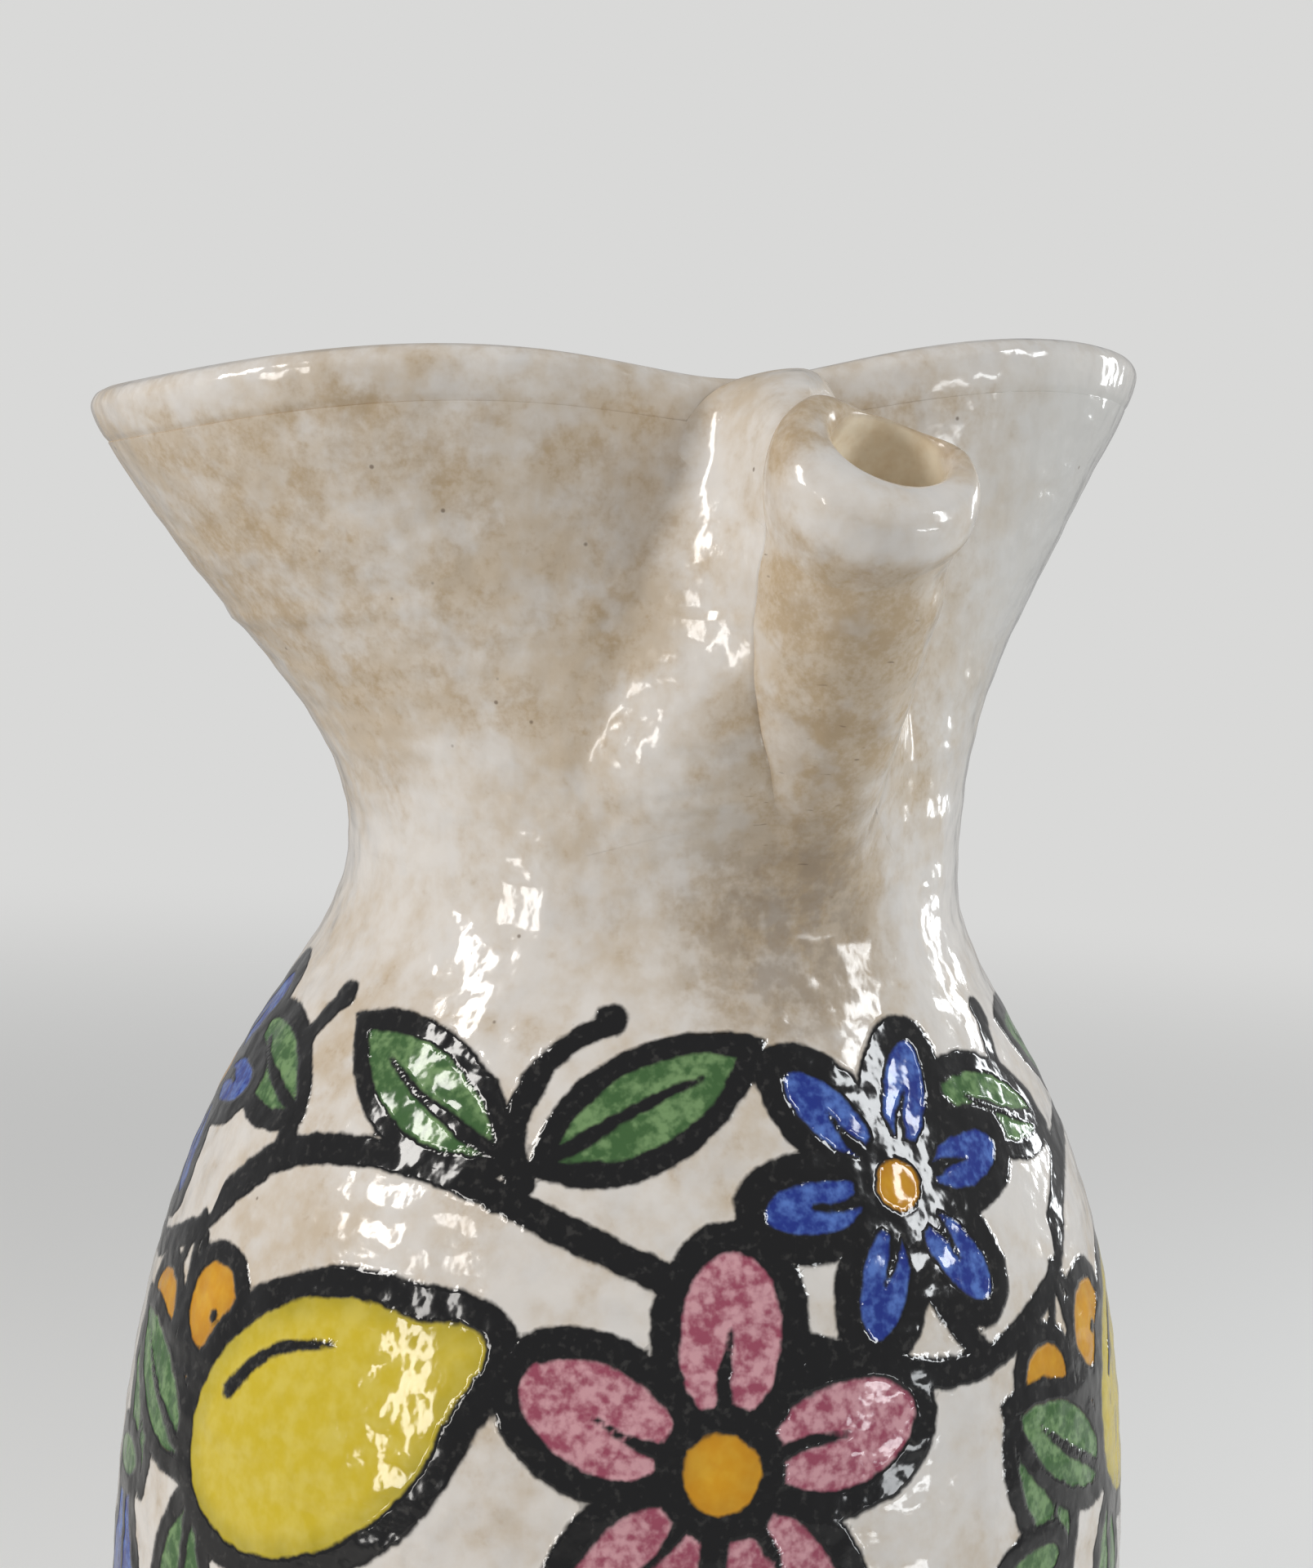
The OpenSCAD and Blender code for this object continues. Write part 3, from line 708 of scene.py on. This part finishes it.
# spout: frame of the tube (along, front, side) and of its lip
SPOUT_O = np.array([4.5, 9.3 - WAIST_R, WAIST_Z])
AXIS = np.array([-cos(SPOUT_LEAN) * sin(SPOUT_SLANT), -sin(SPOUT_LEAN), cos(SPOUT_LEAN) * cos(SPOUT_SLANT)])
SIDE = np.array([cos(SPOUT_SLANT), 0, sin(SPOUT_SLANT)])
FRONT = np.cross(SIDE, AXIS)
LIP_O = SPOUT_O + AXIS * SPOUT_LEN
LIP_SIDE, LIP_UP = np.array([1.0, 0, 0]), np.array([0, -sin(LIP_TILT), cos(LIP_TILT)])
LIP_FRONT = np.array([0, -cos(LIP_TILT), -sin(LIP_TILT)])


def tube_way(f):
    """Direction away from the tube's axis at angle f from its front."""
    return np.sin(f)[..., None] * SIDE + np.cos(f)[..., None] * FRONT


def tube_face(f, s):
    """Outside of the tube: a slow cone, a little uneven and drawn in under the lip, s millimetres along its
    axis."""
    f, s = np.broadcast_arrays(f, s)
    cone = SPOUT_ROOT_R + (SPOUT_TIP_R - SPOUT_ROOT_R) * s / SPOUT_LEN
    uneven = 0.1 * (1 + np.sin(3 * f + s / 8)) + 0.07 * np.sin(s * tau / 6.3 + 0.9 * np.sin(2 * f))
    drawn_in = (0.55 + 0.35 * np.sin(f)) * np.exp(-((s - SPOUT_LEN + 7.4) / 3.4) ** 2)
    return SPOUT_O + s[..., None] * AXIS + (cone - uneven - drawn_in)[..., None] * tube_way(f)


def tube_glaze_and_sheen(f):
    """Glaze on the tube: thin, and lighter on its +X side, where the lighter tone is a painted reflection of
    the window on that side.
    """
    return -0.7 + 0.8 * ease(0.1, 0.85, np.sin(f))


def bore_face(f, s):
    """Inside of the tube: straight bore that drifts to +X towards the lip."""
    f, s = np.broadcast_arrays(f, s)
    drift = (BORE_SHIFT * s / SPOUT_LEN)[..., None] * SIDE
    return SPOUT_O + s[..., None] * AXIS + drift + BORE_R * tube_way(f)


def lip_slope(f):
    """How far the tilted lip moves along the tube at angle f."""
    return -11 * np.cos(f) * tan(LIP_TILT - SPOUT_LEAN)


def spout_tube():
    """Tube from just below the wall's face to inside its lip: the outside, then the bore."""
    f, share = (np.arange(TUBE_ROUND) * tau / TUBE_ROUND)[:, None], np.linspace(0, 1, 70)[None]
    s = np.linspace(-20, 44, 65)
    root_out = leaves_at(s, sunk(tube_face(f, s[None])), 1.5)[:, None]
    root_in = leaves_at(s, sunk(bore_face(f, s[None])), 0.8)[:, None]
    tip_out = SPOUT_LEN - 3.6 + lip_slope(f)
    tip_in = tip_out - 4.9
    grid = np.concatenate([tube_face(f, root_out + (tip_out - root_out) * share),
                           bore_face(f, tip_in + (root_in - tip_in) * share)], 1)
    none = 0 * f * share
    # the tube's marks: thin glaze, with a painted reflection lightening its +X side
    fired("spout_tube_rolled", grid, "spout_tube", "white_glaze",
          tints={"bore": np.concatenate([none, none + 1], 1),
                 "thick": np.concatenate([none + tube_glaze_and_sheen(f), none], 1)})


def spout_lip():
    """Rolled lip. At each angle a smooth section through eleven places: up the outside of the tube, over the
    roll and down into the bore. The hole is an ellipse set to +X, so the roll is thick on the -X side and
    thin on the other, and it rises at the back left, where the bridge comes down to it."""
    f = np.arange(LIP_ROUND) * tau / LIP_ROUND
    to_side, to_back = np.sin(f), -np.cos(f)
    hole_side, hole_back, half_side, half_back = 1.6, 1.8, 6.8, 5.9
    qa = (to_side / half_side) ** 2 + (to_back / half_back) ** 2
    qb = -2 * (to_side * hole_side / half_side ** 2 + to_back * hole_back / half_back ** 2)
    qc = (hole_side / half_side) ** 2 + (hole_back / half_back) ** 2 - 1
    hole = (-qb + np.sqrt(qb * qb - 4 * qa * qc)) / (2 * qa)
    neat = ease(-0.7, 0.5, to_side)
    slim = ease(0.1, 0.8, to_back) * ease(-0.6, 0.2, to_side)
    outer = LIP_R - 0.03 - 0.2 * (1 + to_side) - 2.9 * slim
    wide = outer - hole
    back_left = ((f - radians(225) + pi) % tau - pi) / 0.7
    rise = 4.3 - 0.6 * to_side - 0.9 * slim + 0.9 * np.exp(-back_left ** 2)
    way = to_side[:, None] * LIP_SIDE - to_back[:, None] * LIP_FRONT

    def place(r, h):
        """Points at radius r and height h in the lip's own frame."""
        return LIP_O + r[:, None] * way + (h + 0 * r)[:, None] * LIP_UP

    run = np.stack([
        tube_face(f, SPOUT_LEN - 8.8 + 3.4 * neat + lip_slope(f)) - 0.3 * way,
        tube_face(f, SPOUT_LEN - 6.6 + 3.0 * neat + lip_slope(f)) + 0.05 * way,
        place(outer - 0.3 + 0.6 * np.maximum(0, -to_back), -2.6 + 1.3 * neat), place(outer, 0.2 * rise),
        place(outer - 0.07 * wide, 0.62 * rise), place(outer - 0.26 * wide, 0.93 * rise),
        place(hole + 0.48 * wide, rise), place(hole + 0.2 * wide, 0.9 * rise),
        place(hole + 0.03 * wide, 0.58 * rise), place(hole - 0.25, -1.0),
        bore_face(f, SPOUT_LEN - 9 + lip_slope(f)) - 0.1 * way])
    grid = smooth_through(run.reshape(len(run), -1), 6).reshape(-1, LIP_ROUND, 3).transpose(1, 0, 2)
    hidden = grid[:, -1:] + (grid[:, :1] - grid[:, -1:]) * np.linspace(0, 1, 5)[None, 1:-1, None]
    k = np.concatenate([np.linspace(0, 10, 61), np.full(3, 10.0)])[None]
    facing, slim = ease(-0.3, 0.7, -to_back)[:, None], slim[:, None]
    bore = ease(0, 1, (k - 7.6 + 1.4 * slim) / (1.6 - 0.4 * slim))
    worn = np.exp(-((k - 7.9) / 0.4) ** 2) * (0.25 + 0.6 * facing) + 0.3 * (1 - facing) * (1 - bore)
    fired("spout_lip_rolled", np.concatenate([grid, hidden], 1), "spout_lip", "white_glaze",
          tints={"bore": bore, "worn": worn, "thick": ease(1.5, 2.7, k) * (1.9 * facing - 0.3) - 0.4})


spout_tube()
spout_lip()

# clay smoothed round the tube, from its left top through the front of the root to its right top: angle and
# height of its edge on the wall, then angle and height of its edge on the tube
SMEAR = smooth_through([
    (-13, 262, -102, 50), (-19, 253, -98, 44), (-25, 243, -92, 37), (-31, 231, -76, 29),
    (-37, 220, -54, 21.5), (-32, 208, -38, 15), (-14, 199, -20, 11.5), (6.5, 196.5, 4, 11),
    (20, 199, 32, 11.5), (28.5, 206, 56, 13.5), (34, 216, 71, 17.5), (33, 229, 82, 25.5),
    (29, 242, 92, 35), (23, 252, 100, 43), (17, 262, 108, 50)], 24)
# shares of the way along it, and how thick the glaze is there
THICK = ((0, 0.25, 0.36, 0.5, 0.64, 0.8, 1), (0.6, 0.7, 0.1, -0.5, -0.2, 0.5, 0.4))


def smear(g):
    """Those edges at share g of the way: angle and share on the wall, angle and height on the tube."""
    a, z, f, s = (np.interp(g, np.linspace(0, 1, len(SMEAR)), column) for column in SMEAR.T)
    return radians(1) * a, share_at(radians(1) * a, z), radians(1) * f, s


def smear_rows(g, places, dive=0):
    """Sections of the smoothed clay. Each is a cubic of run and height over the wall, and follows the wall's
    roundness: it leaves the wall almost flat, then ramps straight up to the tube's sides, with a ridge low
    on the left, or climbs the front of its root along the tube itself. Also gives the hidden back and the
    normals and weights that smooth the edges into wall and tube. dive lowers a section under its
    neighbour."""
    a, q, f, s = smear(g)
    t, tn, w, wn = tube_face(f, s), tube_way(f), face(a, q), face_normal(a, q)
    a1, q1 = seat_under(t)
    w1 = face(a1, q1)
    up, along, fall = unit(t - w1), unit(w1 - w), unit((w - t) - dot(w - t, tn) * tn)
    height, span = (np.linalg.norm(v, axis=-1, keepdims=True) for v in (t - w1, w1 - w))
    ramp = (1 - ease(0.28, 0.40, g) + ease(0.64, 0.78, g))[:, None]
    ridge = 0.9 * (ease(0.15, 0.27, g) * ease(0.38, 0.30, g))[:, None]
    sink = (0.4 * (1 - ease(0.0, 0.03, g)) + dive)[:, None]
    most_pull = 0.85 * height / np.maximum(-dot(fall, up), 0.05)
    pull = (1 - ramp) * np.minimum(0.5 * np.hypot(height, span), most_pull)
    p = places[None]
    run = cubic([0 * span, (0.5 - 0.18 * ramp) * span,
                 (1 - 0.37 * ramp - 0.2 * ridge) * span + pull * dot(fall, along), span], p) / span
    rise = cubic([-0.12 + 0 * span, -0.12 + 0.03 * span,
                  (1 - 0.6 * ramp + 0.65 * ridge) * height + pull * dot(fall, up), height - 0.06], p) - sink
    aa, qq = a[:, None] + (a1 - a)[:, None] * run, q[:, None] + (q1 - q)[:, None] * run
    lean = unit(wn[:, None] * (1 - run[..., None]) + up[:, None] * run[..., None])
    rows = face(aa, qq) + rise[..., None] * lean
    below = [v[:, None] for v in (w - 1.5 * wn, w1 - 1.5 * up, t - 1.5 * tn)]
    hidden = quadratic(below, places[::-1][None, :, None])
    weight = np.where(p < 0.5, 1 - ease(0.04, 0.3, p), ease(0.8, 0.97, p) * (1 - ramp))
    normals = np.where((p < 0.5)[..., None], face_normal(aa, qq), tn[:, None])
    return rows, hidden, normals, weight


def seam(name, g0, g1, rows, node, dives=False):
    """One length of that clay as a closed solid, whose glaze goes over into the tube's."""
    g, places = np.linspace(g0, g1, rows), np.linspace(0, 1, SMEAR_PLACES)
    dive = 0.2 * (1 - ease(0, 0.016, np.minimum(g - g0, g1 - g))) if dives else 0
    shown, hidden, normals, weight = smear_rows(g, places, dive)
    spare = np.zeros(hidden.shape[:2])
    thick = np.interp(g, *THICK)[:, None] * ease(0.02, 0.5, places)
    to_tube = ease(0.55, 1, places) * (ease(0.12, 0.26, g) * ease(0.88, 0.74, g))[:, None]
    # near the tube the marks go over into the tube's, with the painted reflection on its +X side
    thick = thick + (tube_glaze_and_sheen(smear(g)[2])[:, None] - thick) * to_tube
    fired(name, np.concatenate([shown, hidden], 1), node, "white_glaze", rings=False,
          tints={"thick": np.concatenate([thick, spare], 1)},
          blend=(np.concatenate([normals, hidden * 0 + 1], 1), np.concatenate([weight, spare], 1)))


def spout_web():
    """Bridge from rim to lip over the top edges of both seams: each section is two cubics, which go on from
    the seams' own slope to a crest; the crest falls from the rim to the back left of the lip. Its underside
    keeps behind the bore."""
    places = np.linspace(0, 1, SMEAR_PLACES)
    left, low_left = smear_rows(np.array([0.03, 0.05]), places)[0]
    right, low_right = smear_rows(np.array([0.97, 0.95]), places)[0]
    crest_line = (1.2, -33.6, 267.9), (0.9, -37.5, 268.9), (-0.6, -43.5, 267.4), (-3.0, -49.7, 261.4)
    crest = cubic([np.array(point) for point in crest_line], places[:, None])
    aw, qw, ft, _ = smear(np.array([0.03, 0.97]))
    wn, tn = face_normal(aw, qw), tube_way(ft)

    def carried(run, first, last):
        """The run with one more point at each end, sunk in wall and tube."""
        return np.concatenate([[run[0] + first], run, [run[-1] + last]])

    left_slope, right_slope = (carried(unit(v), 0, 0) for v in (left - low_left, right - low_right))
    left, right = carried(left, -3 * wn[0], -1.5 * tn[0]), carried(right, -3 * wn[1], -1.5 * tn[1])
    crest = carried(crest, np.array([0, 4.0, -2.5]), np.array([-0.3, -1.0, -2.5]))
    lean = np.array([1.0, 0, 0.06])
    left_reach, right_reach = (np.linalg.norm(crest - v, axis=-1, keepdims=True) for v in (left, right))
    climb = left, left + 0.4 * left_reach * left_slope, crest - 0.45 * left_reach * lean, crest
    drop = crest, crest + 0.4 * right_reach * lean, right + 0.4 * right_reach * right_slope, right
    p = np.linspace(0, 1, 26)[None, :, None]
    near_lip = np.linspace(0, 1, len(left))[:, None, None]
    climb, drop = (cubic([v[:, None] for v in controls], p) for controls in (climb, drop))
    drop = drop + near_lip ** 2 * 6.75 * p * (1 - p) ** 2 * np.array([0, 8.5, 0])
    k = np.linspace(0.08, 0.92, 9)[None, :, None]
    back = near_lip * np.array([0, 8.0, 0]) - np.array([0, 0, 2.0])
    under = right[:, None] + (left - right)[:, None] * k + back * np.sin(pi * k) ** 0.5
    grid = np.concatenate([climb, drop[:, 1:], under], 1)
    thick = 0.6 * ease(0.02, 0.5, near_lip[..., 0]) + np.zeros(grid.shape[:2])
    fired("spout_web_bridged", grid, "spout_web", "white_glaze", rings=False, tints={"thick": thick})


seam("left_seam_coil_smoothed", 0, 0.34, 120, "left_seam_coil")
seam("spout_root_pad_smoothed", 0.328, 0.672, 130, "spout_root_pad", True)
seam("right_seam_coil_smoothed", 0.66, 0.9715, 110, "right_seam_coil")
spout_web()

# handle: angles round the strap, and shares along it from either end to its middle
T_STRAP = np.arange(STRAP_ROUND) * tau / STRAP_ROUND
U_TOP, U_FOOT = np.linspace(0, 0.5, 61), np.linspace(1, 0.5, 61)


def soft(v):
    """Sine or cosine drawn towards the corners of a soft-cornered section."""
    return np.sign(v) * np.abs(v) ** HANDLE_CORNER


def strap(u, t, grow=0.0):
    """Strap of the handle: a soft-cornered section with a groove down its back, tapering along its cubic path
    in the plane of the axis; or a plain copy of it, grown by some millimetres."""
    u, t = np.broadcast_arrays(u, t)
    y, z, ty, tz = (f(HANDLE_PATH[:, k], u) for f in (cubic, cubic_slope) for k in (0, 1))
    n = np.hypot(ty, tz)
    slim = 1 + (HANDLE_TAPER - 1) * u
    groove = 0.9 * np.maximum(0, np.sin(t)) * np.exp(-(np.cos(t) / 0.35) ** 2) if grow == 0 else 0
    out = (slim * HANDLE_T / 2 + grow) * soft(np.sin(t)) - groove
    return np.stack([(slim * HANDLE_W / 2 + grow) * soft(np.cos(t)), y - out * tz / n, z + out * ty / n], -1)


def strap_leaves(us, level, grow=0.0):
    """Share along the strap, at each angle round it, where it comes within level of the wall's face."""
    return leaves_at(us, sunk(strap(us[None], T_STRAP[:, None], grow)), level)


def handle_strap():
    """The strap between its two roots, each sunk a little in the wall."""
    top, foot = strap_leaves(U_TOP, 2.0)[:, None], strap_leaves(U_FOOT, 2.0)[:, None]
    grid = strap(top + (foot - top) * np.linspace(0, 1, 150)[None], T_STRAP[:, None])
    fired("handle_strap_pulled", grid.transpose(1, 0, 2), "handle_strap", "white_glaze", rings=False)


def handle_pad(name, us, run, node):
    """Clay smoothed round one end of the strap: from a line on the strap to a wider line on the wall, on
    quadratic curves whose middle control is where strap and wall would meet; closed by a hidden copy below
    both skins."""
    inner, outer = strap_leaves(us, 0.0), strap_leaves(us, 0.0, PAD_GROW)
    a, q = seat_under(strap(outer, T_STRAP, PAD_GROW))
    w, wn = face(a, q), face_normal(a, q)
    corner, t = strap(inner, T_STRAP), strap(inner + run, T_STRAP)
    tn = unit(strap(inner + run, T_STRAP, 1.0) - strap(inner + run, T_STRAP, 0.01))
    rows = []
    for places, sink in ((np.linspace(0, 1, 24), 0.05), (np.linspace(1, 0, 12), 1.3)):
        controls = t - sink * tn, corner - sink * (tn + wn), w - sink * wn
        rows.append(quadratic([c[:, None] for c in controls], places[None, :, None]))
    fired(name, np.concatenate(rows, 1), node, "white_glaze")


handle_strap()
handle_pad("handle_top_pad_smoothed", U_TOP, 0.055, "handle_top_pad")
handle_pad("handle_foot_pad_smoothed", U_FOOT, -0.055, "handle_foot_pad")

# studio
scene = bpy.context.scene
FLOOR_R, FLOOR_Z, FLOOR_RINGS, FLOOR_ROUND = 1400, -0.02, 60, 96
WARM, COOL = (1.0, 0.972, 0.935), (0.95, 0.98, 1.0)
# camera: distance and height in metres, tilts, sensor in millimetres; height of the frame and focal length
# in pixels
CAMERA_AWAY, CAMERA_Z, CAMERA_PITCH, CAMERA_ROLL = 0.35, 0.256, radians(6.6), radians(2.87)
SENSOR, FRAME_PX, FOCAL_PX = 36.0, 1920, 3340


def studio_floor():
    """Pale floor: rings of points to 1.4 m, falling away into the background with distance."""
    r, a = np.linspace(0.001, FLOOR_R, FLOOR_RINGS)[:, None], np.arange(FLOOR_ROUND)[None] * tau / FLOOR_ROUND
    mesh = bpy.data.meshes.new("studio_floor")
    mesh.from_pydata(around(r, FLOOR_Z, a).reshape(-1, 3) * MM, [],
                     grid_quads(FLOOR_RINGS, FLOOR_ROUND, False).tolist())
    made, at, shader = new_finish("pale_floor")
    away = at.vector("LENGTH", out=1).ease(0.45, 1.3)
    seen = at.node("ShaderNodeLightPath", out=0)
    settle(at, shader, Base_Color=seen.mix(tone(206, 205, 203), tone(248, 248, 247)), Roughness=0.9,
           Specular_IOR_Level=0.0)
    clear = at.node("ShaderNodeBsdfTransparent")
    both = at.node("ShaderNodeMixShader", {}, {0: away, 1: Wire(at.tree, shader.outputs[0]), 2: clear})
    at.tree.links.new(both.socket, at.tree.nodes["Material Output"].inputs["Surface"])
    mesh.materials.append(made)
    floor = bpy.data.objects.new("studio_floor", mesh)
    scene.collection.objects.link(floor)


def studio_world():
    """Even pale surroundings, lighter where the camera or a clear surface looks straight at them."""
    world = bpy.data.worlds.new("pale_studio")
    world.use_nodes = True
    world.node_tree.nodes.clear()
    sky = Wire(world.node_tree)
    seen = sky.node("ShaderNodeLightPath", out=0).most(sky.node("ShaderNodeLightPath", out=6))
    room = seen.mix((0.335, 0.335, 0.335, 1), tone(217, 217, 216))
    shine = sky.node("ShaderNodeBackground", {}, {"Color": room, "Strength": 1.0})
    sky.node("ShaderNodeOutputWorld", {}, {"Surface": shine})
    scene.world = world
    scene.view_settings.view_transform = "Standard"


def window(name, turn, lift, away, size, power, colour):
    """Soft box lamp, turn degrees from the view and lift degrees up, aimed at the jug's neck. Lengths in
    metres."""
    lamp = bpy.data.lights.new(name, "AREA")
    lamp.shape, lamp.size, lamp.size_y, lamp.energy = "RECTANGLE", size[0], size[1], power
    lamp.color = colour
    at = bpy.data.objects.new(name, lamp)
    b, e, aim = VIEW_TURN + radians(turn), radians(lift), Vector((0, 0, 0.19))
    at.location = aim + away * Vector((sin(b) * cos(e), -cos(b) * cos(e), sin(e)))
    at.rotation_euler = (aim - at.location).to_track_quat("-Z", "Y").to_euler()
    at.visible_camera = False
    scene.collection.objects.link(at)


def view_camera():
    """Camera near the rim's height, pitched down a little and rolled."""
    flat = cos(CAMERA_PITCH)
    along = np.array([-sin(VIEW_TURN) * flat, cos(VIEW_TURN) * flat, -sin(CAMERA_PITCH)])
    level = np.array([cos(VIEW_TURN), sin(VIEW_TURN), 0])
    over = np.cross(level, along)
    right = level * cos(CAMERA_ROLL) + over * sin(CAMERA_ROLL)
    up = over * cos(CAMERA_ROLL) - level * sin(CAMERA_ROLL)
    stand = CAMERA_AWAY * sin(VIEW_TURN), -CAMERA_AWAY * cos(VIEW_TURN), CAMERA_Z
    lens = bpy.data.cameras.new("camera")
    lens.sensor_width, lens.lens, lens.clip_start = SENSOR, SENSOR * FOCAL_PX / FRAME_PX, 0.01
    camera = bpy.data.objects.new("camera", lens)
    camera.matrix_world = Matrix(np.stack([right, up, -along, stand], 1).tolist() + [[0, 0, 0, 1]])
    scene.collection.objects.link(camera)
    scene.camera = camera


studio_floor()
studio_world()
window("high_left_window", -68, 30, 1.0, (0.16, 0.44), 3.7, WARM)
window("high_right_window", 78, 27, 1.0, (0.17, 0.44), 3.6, COOL)
window("side_right_window", 60, -5, 0.9, (0.22, 0.08), 0.55, COOL)
window("low_left_window", -46, 5, 0.8, (0.09, 0.34), 1.15, WARM)
window("low_right_window", 126, 10, 0.9, (0.10, 0.40), 1.3, COOL)
view_camera()
